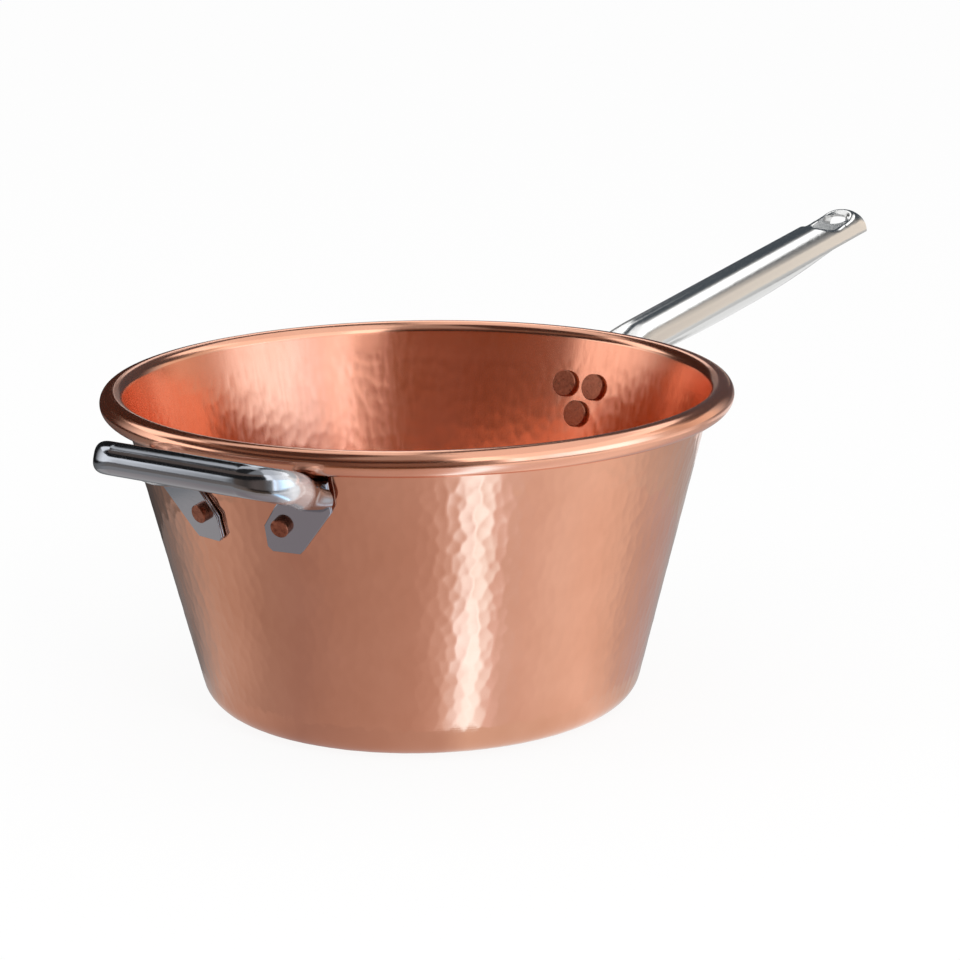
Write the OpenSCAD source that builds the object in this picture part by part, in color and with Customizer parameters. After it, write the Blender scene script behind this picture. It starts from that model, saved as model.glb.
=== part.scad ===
// Copper jam pan: a tapered, hammered pan with a rolled rim, one long hollow steel handle and a
// helper grip on the other side. Everything is riveted through the wall.
// Origin: centre of the base, on the surface it rests on. +Z is up and the long handle points to +X.

/* [Pan] */
// outside diameter over the rolled rim
rim_d = 280; // [250:1:340]
// overall height, base to the top of the rim
pan_h = 144.5; // [120:0.5:190]
// diameter where the wall would meet the base if the corner were sharp
base_d = 191.5; // [170:0.5:210]
// radius of the rounded corner between base and wall, outside
base_corner_r = 15; // [6:0.5:22]
// thickness of the copper sheet
copper_t = 1.5; // [1.2:0.1:2.5]
// diameter of the rolled bead at the rim
bead_d = 11; // [8:0.5:13]

/* [Rivets] */
// diameter of the rivet shanks
shank_d = 7; // [5:0.5:8]
// radial clearance of a shank in its holes
shank_clearance = 0.06; // [0.05:0.01:0.15]
// diameter of the flat heads inside the pan
head_d = 12.5; // [10:0.5:13]
// thickness of the flat heads
head_t = 2; // [1.5:0.1:3]
// width of the bevel round each head
head_bevel = 0.4; // [0.2:0.1:0.8]
// gap between the middle of a flat head and the hollow wall behind it
head_gap = 0.25; // [0.22:0.01:0.4]
// diameter of the closed ends outside
button_d = 8.2; // [8.2:0.1:8.6]
// how far the closed ends stand out
button_h = 2.8; // [2:0.1:3.6]

/* [Long handle] */
// how far the handle's tip is from the rim
handle_l = 227; // [190:1:260]
// outside width of the half-round upper shell
handle_w = 21; // [20:0.5:24]
// depth of the upper shell's straight sides below its half round
handle_side_h = 0.9; // [0.8:0.1:2]
// slope of the handle above level
handle_rise = 8.5; // [7:0.1:11]
// how far outside the rim the neck ends and the straight part begins
neck_end_out = 32; // [30:1:36]
// how far the handle's centre line is below the rim's top there
neck_end_drop = 13; // [12:0.1:14]
// thickness of the handle's steel sheet
steel_t = 1.5; // [1.2:0.1:1.8]
// width of the neck where it meets the foot
neck_w = 30; // [29:0.5:32]
// height of the neck's arch where it meets the foot
neck_h = 12; // [12:0.5:13]
// how far the top of the neck is below the rim's top where it meets the foot
neck_top_drop = 17; // [16.5:0.5:19]

/* [Handle end] */
// diameter of the hanging hole
hang_d = 12.5; // [10:0.5:14]
// distance from the tip to the middle of the hanging hole
hang_inset = 11; // [10:0.1:15]
// how far the top is pressed down round the hanging hole
dish_depth = 4; // [2:0.1:4.5]
// length of the pressed floor
dish_l = 27; // [24:0.5:32]
// length of the slope at each end of the pressed floor
dish_slope = 6; // [4:0.5:8]
// length over which the top falls away at the very tip
nose_l = 7; // [6:0.5:10]
// how far it falls there
nose_drop = 2.4; // [1:0.1:2.6]

/* [Handle foot] */
// thickness of the foot plate
foot_t = 2.5; // [2:0.1:3]
// distance from the middle of the foot to the centre of each upper corner
foot_half_w = 12; // [11:0.5:13]
// how far those centres are above the upper rivets
foot_top_y = 2; // [1:0.5:2.5]
// radius of the foot's three corners
foot_corner_r = 8.5; // [7.5:0.5:9]
// gap left between welded or riveted faces
seat_gap = 0.08; // [0.05:0.01:0.12]
// how far the two upper handle rivets are below the rim's top
upper_rivet_drop = 25.5; // [24.5:0.5:26.5]
// how far the lower handle rivet is below the rim's top
lower_rivet_drop = 38.7; // [37.5:0.1:40]
// distance from the middle to each upper rivet, round the wall
upper_rivet_angle = 3.8; // [3.6:0.1:4]

/* [Helper grip] */
// how far the grip sits round from exactly opposite the handle
grip_turn = 1.9; // [-3:0.1:3]
// diameter of the grip's bar
grip_d = 14; // [12:0.5:14]
// how far the middle of the bar is outside the rim
grip_out = 21; // [18:0.5:28]
// how far the middle of the bar is below the rim's top
grip_drop = 7.5; // [4.5:0.5:9.5]
// outside length of the bar
grip_l = 102.5; // [100:0.5:106]
// bend radius at each end of the bar, to its middle
grip_bend_r = 12.5; // [12:0.5:16]
// how much the bends are flattened on their outer side
bend_flat = 0.3; // [0:0.05:0.4]
// how steeply the grip rises outwards
grip_rise = 17.5; // [14:0.5:20]
// how much the legs close in towards the wall
leg_splay = 14; // [10:0.5:15]
// straight length of each leg before it is flattened
leg_l = 4; // [1:0.5:5]
// thickness of the flattened lugs
lug_t = 2.2; // [1.8:0.1:2.6]
// angle round the wall from the grip's middle to each rivet
lug_angle = 9.8; // [9.4:0.1:10.4]
// how far the grip's rivets are below the rim's top
lug_rivet_drop = 35.7; // [35:0.1:36.5]
// how far a lug reaches from its rivet towards the other lug
lug_in = 8.6; // [8.4:0.1:12]
// how far it reaches away from the other lug
lug_out = 24; // [23:0.5:25]
// how far it reaches below its rivet
lug_down = 12.7; // [12:0.1:15]
// how far it reaches above its rivet
lug_up = 22; // [21:0.5:23]
// length of its small cut corners
lug_chamfer = 2.2; // [1.5:0.1:3]

/* [Hidden] */
$fn = 96;
copper = [0.80, 0.47, 0.35];
rivet_copper = [0.55, 0.30, 0.22];
steel = [0.80, 0.80, 0.80];

// the bead's section and the wall that runs up into it
bead_r = bead_d/2;
bead_x = rim_d/2 - bead_r;
bead_z = pan_h - bead_r;
curl_r = bead_r - copper_t;
base_r = base_d/2;
to_bead = norm([bead_x - base_r, bead_z]);
wall_lean = 90 - atan2(bead_z, bead_x - base_r) - asin(curl_r/to_bead);
corner_x = wall_r(base_corner_r) - base_corner_r/cos(wall_lean);
// the rolled edge stops short of the wall by this much, measured round the bead
curl_open = 59;
// the bead's section begins this far down the wall, so that the two are one sheet
curl_lap = 4;

function wall_r(z) = base_r + z*tan(wall_lean);
// direction square to the wall, pointing in, in the plane of the section
wall_in = [-cos(wall_lean), sin(wall_lean)];
bead_mid = [bead_x, bead_z];

// heights that follow the rim, and distances that follow it outwards
upper_rivet_z = pan_h - upper_rivet_drop;
lower_rivet_z = pan_h - lower_rivet_drop;
lug_rivet_z = pan_h - lug_rivet_drop;
grip_reach = rim_d/2 + grip_out;
grip_z = pan_h - grip_drop;
handle_reach = rim_d/2 + handle_l;
neck_end_x = rim_d/2 + neck_end_out;
neck_end_z = pan_h - neck_end_drop;
neck_top_z = pan_h - neck_top_drop;

// room for the foot plate's curve when its outline is cut through it
foot_depth = 16;

// straight part of the handle
handle_r = handle_w/2;
straight_l = (handle_reach - neck_end_x)/cos(handle_rise);
floor_w = handle_r - dish_depth;
dish_r = hang_d/2 + 0.8;
dish_end = 4.5;

// how far the hollow is cut below the upper shell's edges
open_below = 6;
// how far the neck is trimmed back inside the wall
neck_trim = 14;
// the neck runs on into the foot by this much before it is trimmed
neck_start_x = wall_r(neck_top_z) - 4;
neck_foot_z = neck_top_z - neck_h;
arch_sides = 36;
neck_steps = 12;
nose_steps = 4;

// the lower shell: where it is deepest, where it begins and ends
belly_x = neck_end_x + 85;
lower_from = wall_r(upper_rivet_z) + 12.6;
lower_to = handle_reach - 27;
belly_depth = 7.8;
belly_sides = 18;
belly_steps = 24;
// its straight sides reach this far above the centre line
lower_top = 0;
// gap all along between the two shells
shell_gap = 0.25;

// grip
grip_r = grip_d/2;
leg_y = grip_l/2 - grip_r;
// where a lug's lower edge and upper edge end
lug_heel = lug_in - 2.1;
lug_shoulder = lug_out - 14.5;
// where each leg widens onto its lug; it stands out past the lug's outer edge
pad_half_w = grip_r + 1.2;
pad_half_h = grip_r + 0.2;
pad_over = 1.5;
pad_x = lug_out - pad_half_w + pad_over;
pad_y = lug_up - pad_half_h;
// how far a leg dips below its straight line, as it comes under the bead and behind it
first_dip = 0.4;
second_dip = 1.3;
grip_sides = 32;
bend_steps = 12;

// local x runs round the wall, y up it and z straight out of its outer face
module at_wall(angle, z) {
    rotate([0, 0, angle])
        translate([wall_r(z), 0, z])
            rotate([0, 90 + wall_lean, 0])
                rotate([0, 0, 90])
                    children();
}

module rivet_places(which) {
    if (which == "handle") {
        for (side = [-1, 1]) at_wall(side*upper_rivet_angle, upper_rivet_z) children();
        at_wall(0, lower_rivet_z) children();
    } else {
        for (side = [-1, 1]) at_wall(180 + grip_turn + side*lug_angle, lug_rivet_z) children();
    }
}

module rivet_hole() {
    cylinder(r = shank_d/2 + shank_clearance, h = 24, center = true);
}

// a cup filled solid, with its rounded corner; inset moves every face inwards
module cup_section(inset) {
    corner_r = base_corner_r - inset;
    corner = [corner_x, base_corner_r];
    reach = curl_r + inset;
    union() {
        polygon([
            [0, inset],
            [corner_x, inset],
            corner - corner_r*wall_in,
            bead_mid + reach*wall_in,
            inset > 0 ? bead_mid + reach*wall_in + [0, bead_d] : bead_mid + bead_r*wall_in,
            [0, inset > 0 ? pan_h + bead_d : bead_z]
        ]);
        translate(corner) circle(r = corner_r);
    }
}

module bead_section() {
    difference() {
        translate(bead_mid) circle(r = bead_r);
        translate(bead_mid) circle(r = curl_r);
        translate(bead_mid)
            polygon([[0, 0], for (a = [curl_lap, curl_open/2, curl_open])
                bead_d*[cos(180 - wall_lean + a), sin(180 - wall_lean + a)]]);
    }
}

module pan_body() {
    color(copper)
    difference() {
        rotate_extrude($fn = 240)
            union() {
                difference() {
                    cup_section(0);
                    cup_section(copper_t);
                }
                bead_section();
            }
        rivet_places("handle") rivet_hole();
        rivet_places("grip") rivet_hole();
    }
}

// shank through the wall, flat head inside, closed end outside
// stack is the thickness that the rivet holds outside the copper
module rivet(stack) {
    inner = -copper_t - head_gap;
    outer = stack + seat_gap;
    union() {
        translate([0, 0, inner - head_t/2])
            cylinder(r = shank_d/2, h = outer - inner + head_t/2 + button_h/2);
        translate([0, 0, inner - head_t + head_bevel])
            cylinder(r = head_d/2, h = head_t - head_bevel);
        translate([0, 0, inner - head_t])
            cylinder(r1 = head_d/2 - head_bevel, r2 = head_d/2, h = head_bevel);
        translate([0, 0, outer])
            cylinder(r = button_d/2, h = button_h - head_bevel);
        translate([0, 0, outer + button_h - head_bevel])
            cylinder(r1 = button_d/2, r2 = button_d/2 - head_bevel, h = head_bevel);
    }
}

module handle_rivets() {
    color(rivet_copper)
        rivet_places("handle") rivet(foot_t + seat_gap);
}

module grip_rivets() {
    color(rivet_copper)
        rivet_places("grip") rivet(lug_t + seat_gap);
}

// a band of sheet that follows the outside of the wall, between two distances from it
module wall_band(near, far) {
    low_z = pan_h - 64.5;
    high_z = pan_h - 2.5;
    rotate_extrude($fn = 240)
        polygon([
            [wall_r(low_z) + near/cos(wall_lean), low_z],
            [wall_r(low_z) + far/cos(wall_lean), low_z],
            [wall_r(high_z) + far/cos(wall_lean), high_z],
            [wall_r(high_z) + near/cos(wall_lean), high_z]
        ]);
}

// points of three equal rounds joined by straight sides, going round from the first
function rounded_triangle(corners, r, steps) = [
    for (i = [0:2])
        let (before = corners[(i + 2) % 3], here = corners[i], after = corners[(i + 1) % 3],
             from = atan2(here[1] - before[1], here[0] - before[0]) - 90,
             to = atan2(after[1] - here[1], after[0] - here[0]) - 90,
             turn = (to - from + 720) % 360)
        for (k = [0:steps]) here + r*[cos(from + turn*k/steps), sin(from + turn*k/steps)]];

module handle_foot() {
    low_y = (lower_rivet_z - upper_rivet_z)/cos(wall_lean);
    corners = [[-foot_half_w, foot_top_y], [0, low_y], [foot_half_w, foot_top_y]];
    color(steel)
    difference() {
        intersection() {
            wall_band(seat_gap, seat_gap + foot_t);
            at_wall(0, upper_rivet_z)
                translate([0, 0, -foot_depth/2])
                    linear_extrude(foot_depth)
                        polygon(rounded_triangle(corners, foot_corner_r, 10));
        }
        rivet_places("handle") rivet_hole();
    }
}

module along_handle() {
    translate([neck_end_x, 0, neck_end_z])
        rotate([0, -handle_rise, 0])
            children();
}

module slot_outline(from_x, to_x, r) {
    union() {
        translate([from_x + r, 0]) circle(r = r, $fn = 32);
        translate([to_x - r, 0]) circle(r = r, $fn = 32);
        translate([from_x + r, -r]) square([to_x - from_x - 2*r, 2*r]);
    }
}

// the shape pressed into the top at the tip; under grows it by the sheet's thickness
module dish(under) {
    tip = straight_l - dish_end;
    hull() {
        translate([0, 0, floor_w - under])
            linear_extrude(0.02)
                slot_outline(tip - dish_l - under, tip + under, dish_r + under);
        translate([0, 0, handle_r + 2])
            linear_extrude(0.02)
                slot_outline(tip - dish_l - dish_slope*1.5 - under, tip + dish_slope + under,
                    dish_r + 2.5 + under);
    }
}

// smooth step from 0 to 1
function ease(t) = t*t*(3 - 2*t);

// the neck curves down to the foot and widens: 1 at the foot, 0 on the straight part
function neck_part(x) =
    ease(min(max((neck_end_x - x)/(neck_end_x - neck_start_x), 0), 1));

// height of the centre line and half width of the upper shell at x
function mid_z(x) =
    let (line_z = neck_end_z + (x - neck_end_x)*tan(handle_rise),
         foot_z = neck_foot_z + (x - neck_start_x)*tan(handle_rise))
    line_z + (foot_z - line_z)*neck_part(x);
function half_w(x) = handle_r + (neck_w/2 - handle_r)*neck_part(x);

// a point of a section square to the handle: y to the side, w above the centre line
function off_line(x, y, w) = [x - w*sin(handle_rise), y, mid_z(x) + w*cos(handle_rise)];

// how square the upper shell's section is: 1 is an ellipse
function squareness(x) = 1 - neck_part(x)/3;

// height of the upper shell's top above the centre line
function top_w(x) =
    handle_r + (neck_h - handle_r)*neck_part(x)
    - nose_drop*pow(max((x - handle_reach + nose_l)/nose_l, 0), 2);

// upper shell's section: a half round, squarer towards the foot, on straight sides
function shell_ring(x, inset, down) = concat(
    [off_line(x, half_w(x) - inset, -down)],
    [for (i = [0:arch_sides])
        let (a = 180*i/arch_sides, q = squareness(x))
        off_line(x, (half_w(x) - inset)*sign(cos(a))*pow(abs(cos(a)), q),
            (top_w(x) - inset)*pow(max(sin(a), 0), q))],
    [off_line(x, inset - half_w(x), -down)]);

// closes a row of rings into one solid
module loft(rings) {
    n = len(rings[0]);
    m = len(rings);
    polyhedron(
        points = [for (r = rings) each r],
        faces = concat(
            [[for (i = [0:n - 1]) i]],
            [[for (i = [n - 1:-1:0]) (m - 1)*n + i]],
            [for (j = [0:m - 2], i = [0:n - 1])
                let (k = (i + 1) % n) [j*n + i, (j + 1)*n + i, (j + 1)*n + k]],
            [for (j = [0:m - 2], i = [0:n - 1])
                let (k = (i + 1) % n) [j*n + i, (j + 1)*n + k, j*n + k]]));
}

// the shell's outside as one filled form, or its hollow when inset is the sheet's thickness
module shell_form(inset, over) {
    down = handle_side_h + (inset > 0 ? open_below : 0);
    neck_l = neck_end_x - neck_start_x;
    loft(concat(
        [for (j = [0:neck_steps])
            shell_ring(neck_start_x - (j == 0 ? over : 0) + neck_l*j/neck_steps, inset, down)],
        [for (j = [0:nose_steps])
            shell_ring(handle_reach - nose_l + (nose_l + over)*j/nose_steps, inset, down)]));
}

module handle_upper_shell() {
    color(steel)
    difference() {
        difference() {
            shell_form(0, 0);
            along_handle() dish(0);
        }
        difference() {
            shell_form(steel_t, 1);
            along_handle() dish(steel_t);
        }
        along_handle()
            translate([straight_l - hang_inset, 0, 0]) cylinder(r = hang_d/2, h = 40);
        wall_band(-neck_trim, foot_t + 2*seat_gap);
    }
}

// depth of the lower shell below the upper shell's edges
function belly(x) =
    let (t = x < belly_x ? (belly_x - x)/(belly_x - lower_from) : (x - belly_x)/(lower_to - belly_x))
    0.1 + (belly_depth - 0.1)*pow(1 - pow(min(t, 1), 2.4), 0.75);

// the lower shell's section: half an ellipse below straight sides that stand inside the upper shell
function belly_ring(x, inset, top) =
    let (side = half_w(x) - steel_t - shell_gap - inset, spring = inset - handle_side_h)
    concat(
        [off_line(x, side, top)],
        [for (i = [0:belly_sides])
            let (a = 180*i/belly_sides)
            off_line(x, side*cos(a), spring - belly(x)*sin(a))],
        [off_line(x, -side, top)]);

// x of ring j of the lower shell; over lengthens it at both ends
function belly_at(j, over) =
    lower_from - over + (lower_to - lower_from + 2*over)*j/belly_steps;

module handle_lower_shell() {
    color(steel)
        difference() {
            loft([for (j = [belly_steps:-1:0]) belly_ring(belly_at(j, 0), 0, lower_top)]);
            loft([for (j = [belly_steps:-1:0]) belly_ring(belly_at(j, 1), steel_t, lower_top + 1)]);
        }
}

// one lug's outline seen from outside, rivet at 0,0 and the leg above it on the +x side
module lug_outline() {
    polygon([
        [-lug_in, -0.8], [-lug_in, -lug_down + lug_chamfer], [-lug_in + lug_chamfer, -lug_down],
        [lug_heel, -lug_down], [lug_heel + lug_chamfer, -lug_down + lug_chamfer],
        [lug_out - lug_chamfer, 5.5], [lug_out, 8.4], [lug_out, lug_up],
        [lug_shoulder, lug_up], [-lug_chamfer, 8.5]
    ]);
}

// a place in the tilted plane of the bar: out along the legs, y along the bar, up square to both
function in_grip_plane(out, y, up) = [
    grip_reach + out*cos(grip_rise) - up*sin(grip_rise), y,
    grip_z + out*sin(grip_rise) + up*cos(grip_rise)];

// a place on the +y lug: x round the wall, y up it, z out of it
function on_lug(x, y, z) =
    let (r = wall_r(lug_rivet_z), c = cos(lug_angle), s = sin(lug_angle))
    [r*c - x*s + y*c*sin(wall_lean) + z*c*cos(wall_lean),
     r*s + x*c + y*s*sin(wall_lean) + z*s*cos(wall_lean),
     lug_rivet_z + y*cos(wall_lean) - z*sin(wall_lean)];

// a cosine or sine drawn towards the corners: q is 1 for a round and less for a squarer one
function cornered(v, q) = sign(v)*pow(abs(v), q);

// one ring of the grip, square to a path that has turned by this angle
function tube_ring(out, y, turn, q, dip) = [
    for (i = [0:grip_sides - 1])
        let (a = 360*i/grip_sides, side = grip_r*cornered(cos(a), q))
        in_grip_plane(out + side*cos(turn), y + side*sin(turn), -grip_r*cornered(sin(a), q) - dip)];

// the flattened end, inside the lug's thickness
function pad_ring() = [
    for (i = [0:grip_sides - 1])
        let (a = 360*i/grip_sides)
        on_lug(pad_x + pad_half_w*cos(a), pad_y - pad_half_h*sin(a), seat_gap + lug_t/2)];

// rings round the bend, down the leg, under the bead and onto the lug
function arm_rings() =
    let (half_bar = leg_y - grip_bend_r,
         turn = 90 + leg_splay,
         end_out = -grip_bend_r + grip_bend_r*cos(turn),
         end_y = half_bar + grip_bend_r*sin(turn),
         leg_out = end_out - leg_l*sin(turn),
         leg_end_y = end_y + leg_l*cos(turn),
         bead_out = (bead_x - grip_reach)/cos(grip_rise),
         first_out = bead_out + bead_r/3,
         second_out = bead_out - bead_r*3/4)
    concat(
        [for (k = [0:bend_steps])
            let (a = turn*k/bend_steps)
            tube_ring(-grip_bend_r + grip_bend_r*cos(a), half_bar + grip_bend_r*sin(a), a,
                1 - bend_flat*sin(180*k/bend_steps), 0)],
        [tube_ring(leg_out, leg_end_y, turn, 1, 0),
         tube_ring(first_out, leg_end_y - (leg_out - first_out)*tan(leg_splay), turn, 1, first_dip),
         tube_ring(second_out, leg_end_y - (leg_out - second_out)*tan(leg_splay), turn, 1, second_dip),
         pad_ring()]);

function mirrored(ring) = [for (p = ring) [p[0], -p[1], p[2]]];

module grip_tube() {
    arm = arm_rings();
    last = len(arm) - 1;
    loft(concat([for (j = [last:-1:0]) mirrored(arm[j])], arm));
}

module helper_grip() {
    color(steel)
    rotate([0, 0, 180 + grip_turn])
        difference() {
            union() {
                grip_tube();
                for (side = [0, 1]) mirror([0, side, 0])
                    at_wall(lug_angle, lug_rivet_z)
                        translate([0, 0, seat_gap]) linear_extrude(lug_t) lug_outline();
            }
            for (side = [0, 1]) mirror([0, side, 0])
                at_wall(lug_angle, lug_rivet_z) rivet_hole();
        }
}

pan_body();
handle_foot();
handle_upper_shell();
handle_lower_shell();
handle_rivets();
helper_grip();
grip_rivets();
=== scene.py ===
import math

import bpy
import numpy as np
from mathutils import Matrix, Vector


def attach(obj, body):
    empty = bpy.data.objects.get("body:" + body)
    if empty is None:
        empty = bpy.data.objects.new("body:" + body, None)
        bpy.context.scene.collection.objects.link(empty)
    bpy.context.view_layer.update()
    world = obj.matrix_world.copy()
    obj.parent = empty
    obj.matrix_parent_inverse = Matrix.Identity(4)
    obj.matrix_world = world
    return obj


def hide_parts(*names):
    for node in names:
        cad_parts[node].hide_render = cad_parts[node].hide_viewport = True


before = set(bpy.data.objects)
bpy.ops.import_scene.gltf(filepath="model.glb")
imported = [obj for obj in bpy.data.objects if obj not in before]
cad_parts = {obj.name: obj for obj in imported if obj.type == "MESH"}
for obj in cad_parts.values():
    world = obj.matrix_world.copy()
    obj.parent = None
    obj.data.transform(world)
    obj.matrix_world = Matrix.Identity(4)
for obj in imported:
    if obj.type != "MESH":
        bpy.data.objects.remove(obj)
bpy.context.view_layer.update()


# Camera
# It stands well back on the helper grip's side, a little above the rim, with a long lens.
# The pan is turned so that the long handle runs away to the right.
pan_turn = math.radians(51.4)
camera_yaw, camera_pitch, camera_roll = (math.radians(a) for a in (1.127, 14.092, -0.747))
camera_back, camera_height = 1.3842, 0.4458


def turned(x, y, z=0.0):
    """a place seen from the camera's side, in the pan's own frame"""
    c, s = math.cos(pan_turn), math.sin(pan_turn)
    return Vector((x * c + y * s, y * c - x * s, z))


looking = turned(math.sin(camera_yaw) * math.cos(camera_pitch),
                 math.cos(camera_yaw) * math.cos(camera_pitch), -math.sin(camera_pitch))
level_right = turned(math.cos(camera_yaw), -math.sin(camera_yaw))
level_up = level_right.cross(looking)
camera_right = level_right * math.cos(camera_roll) + level_up * math.sin(camera_roll)
camera_up = level_up * math.cos(camera_roll) - level_right * math.sin(camera_roll)
camera_data = bpy.data.cameras.new("camera")
camera_data.lens = 120
camera_data.sensor_width = 36
camera_data.clip_start = 0.05
camera_data.clip_end = 30
camera = bpy.data.objects.new("camera", camera_data)
bpy.context.scene.collection.objects.link(camera)
camera.matrix_world = Matrix.Translation(turned(0, -camera_back, camera_height)) @ Matrix(
    (camera_right, camera_up, -looking)).transposed().to_4x4()
bpy.context.scene.camera = camera


# Pan body
# One sheet of copper, spun to a tapered cup, planished all over with a round hammer and left satin.
# Its edge is rolled outwards into an open bead, which is polished.
rim_r, pan_h, base_r, corner_r, copper_t, bead_r = 0.140, 0.1445, 0.09575, 0.015, 0.0015, 0.0055
bead_mid = np.array([rim_r - bead_r, pan_h - bead_r])
curl_r = bead_r - copper_t
lean = (math.pi / 2 - math.atan2(bead_mid[1], bead_mid[0] - base_r)
        - math.asin(curl_r / math.hypot(bead_mid[0] - base_r, bead_mid[1])))
wall_in = np.array([-math.cos(lean), math.sin(lean)])


def wall_r(z):
    return base_r + z * math.tan(lean)


corner_mid = np.array([wall_r(corner_r) - corner_r / math.cos(lean), corner_r])
curl_end = math.radians(-135)
curl_start = math.pi - lean
# one blow's width and height, how deep it sinks and how round the hammer's face is
blow_w, blow_h, hammer_depth, hammer_round = 0.0041, 0.0058, 0.00015, 0.042
# the ridge between two blows is rounded over by this much
ridge_round = 0.000010
# radius half way up the wall, at which the marks have their true width
mark_r = 0.115
segments = 1100


def line_of(a, b, n):
    t = np.linspace(0, 1, n, endpoint=False)[:, None]
    return np.array(a) * (1 - t) + np.array(b) * t


def arc_of(mid, r, a, b, n):
    t = np.linspace(a, b, n, endpoint=False)
    return mid + r * np.stack([np.cos(t), np.sin(t)], 1)


def sheet_profile():
    """points down the middle of the base, up the wall, round the bead and back inside;
    each has the direction in which a blow sinks it, how deep, and its finish"""
    inner_r = corner_r - copper_t
    flat = np.array([corner_mid[0], 0.0])
    parts = [
        (line_of([0.0015, 0], flat, 26), (0, 1), 0.4, 0),
        (arc_of(corner_mid, corner_r, -math.pi / 2, -lean, 12), "corner", 0.5, 0),
        (line_of(corner_mid - corner_r * wall_in, bead_mid + curl_r * wall_in, 134), "wall", 1.0, 0),
        (arc_of(bead_mid, curl_r, curl_start, curl_end, 16), (0, 0), 0.0, 2),
        (arc_of(bead_mid, bead_r, curl_end, curl_start, 48), (0, 0), 0.0, 2),
        (line_of(bead_mid + bead_r * wall_in, corner_mid - inner_r * wall_in, 110), "inside", 0.45, 1),
        (arc_of(corner_mid, inner_r, -lean, -math.pi / 2, 10), "inside_corner", 0.4, 1),
        (line_of([corner_mid[0], copper_t], [0.0015, copper_t], 40), (0, -1), 0.4, 1),
    ]
    rows = []
    for points, sink, depth, finish in parts:
        for x, z in points:
            if isinstance(sink, tuple):
                way = sink
            elif sink == "wall":
                way = tuple(wall_in)
            elif sink == "inside":
                way = tuple(-wall_in)
            else:
                out = np.array([x, z]) - corner_mid
                out = out / np.linalg.norm(out)
                way = tuple(-out if sink == "corner" else out)
            fade = min(1.0, max(0.0, (pan_h - 2 * bead_r - z) / 0.006))
            rows.append((x, z, way[0], way[1], depth * (fade if z > 0.05 else 1.0), finish))
    return np.array(rows)


def hammered(around, along, radius, seed):
    """how far each point of the sheet lies above the middle of the blow that made it"""
    columns = int(round(2 * math.pi * mark_r / blow_w))
    rows = int(along.max() / blow_h) + 4
    chance = np.random.default_rng(seed)
    scatter = chance.uniform(-0.42, 0.42, (rows, columns, 2))
    level = chance.uniform(0, 0.00003, (rows, columns))
    tilt = chance.uniform(-0.022, 0.022, (rows, columns, 2))
    across = around / (2 * math.pi) * columns
    up = along / blow_h + 1
    row, column = np.floor(up).astype(int), np.floor(across).astype(int)
    total = np.zeros_like(around)
    sharp = 1 / ridge_round
    for dj in (-1, 0, 1):
        j = np.clip(row + dj, 0, rows - 1)
        for di in (-1, 0, 1):
            i = column + di
            k = i % columns
            from_mid = across - (i + 0.5 + 0.5 * (j % 2) - 0.25 + scatter[j, k, 0])
            du = from_mid / columns * 2 * math.pi * radius
            dv = (up - (row + dj + 0.5 + scatter[j, k, 1])) * blow_h
            rise_of = ((du ** 2 + (dv * 0.75) ** 2) / (2 * hammer_round)
                       + tilt[j, k, 0] * du + tilt[j, k, 1] * dv)
            total += np.exp(-sharp * (rise_of + level[j, k]))
    return -np.log(total + 1e-30) / sharp


def copper_mesh():
    profile = sheet_profile()
    n = len(profile)
    step = np.hypot(*np.diff(profile[:, :2], axis=0).T)
    along = np.concatenate([[0], np.cumsum(step)])
    angle = np.linspace(0, 2 * math.pi, segments, endpoint=False)
    around = np.broadcast_to(angle, (n, segments))
    length = np.broadcast_to(along[:, None], (n, segments))
    radius = np.broadcast_to(profile[:, 0:1], (n, segments))
    marks = hammered(around, length, radius, 7)
    sunk = np.clip(hammer_depth - marks, 0, None) * profile[:, 4:5]
    r = profile[:, 0:1] + profile[:, 2:3] * sunk
    z = profile[:, 1:2] + profile[:, 3:4] * sunk
    points = np.stack([r * np.cos(around), r * np.sin(around), z], 2).reshape(-1, 3)
    points = np.vstack([points, [[0, 0, 0], [0, 0, copper_t]]])
    i, j = np.meshgrid(np.arange(n - 1), np.arange(segments), indexing="ij")
    nxt = (j + 1) % segments
    quads = np.stack([i * segments + j, i * segments + nxt,
                      (i + 1) * segments + nxt, (i + 1) * segments + j], 2).reshape(-1, 4)
    first, last = n * segments, n * segments + 1
    fans = [(first, (k + 1) % segments, k) for k in range(segments)]
    fans += [(last, (n - 1) * segments + k, (n - 1) * segments + (k + 1) % segments)
             for k in range(segments)]
    mesh = bpy.data.meshes.new("pan_copper")
    mesh.from_pydata(points.tolist(), [], quads.tolist() + fans)
    mesh.polygons.foreach_set("use_smooth", np.ones(len(mesh.polygons), bool))
    finish = np.repeat(profile[:-1, 5].astype(np.int32), segments)
    finish = np.concatenate([finish, np.zeros(segments, np.int32), np.ones(segments, np.int32)])
    mesh.polygons.foreach_set("material_index", finish)
    wrap = np.where(nxt == 0, segments, nxt)
    u = np.stack([j, wrap, wrap, j], 2).reshape(-1) * (2 * math.pi * mark_r / segments)
    v = np.stack([along[i], along[i], along[i + 1], along[i + 1]], 2).reshape(-1)
    flat = np.zeros((len(mesh.loops), 2), np.float32)
    flat[: len(u), 0] = u
    flat[: len(u), 1] = v
    mesh.uv_layers.new(name="sheet").data.foreach_set("uv", flat.ravel())
    mesh.update()
    return mesh


def put(tree, kind, **settings):
    """adds a shader node; a setting is one of its inputs if it has such a name"""
    made = tree.nodes.new(kind)
    for name, value in settings.items():
        plain = name.replace("_", " ")
        found = [s for s in made.inputs if s.name.lower() == plain.lower()]
        if found:
            found[0].default_value = value
        else:
            setattr(made, name, value)
    return made


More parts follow.
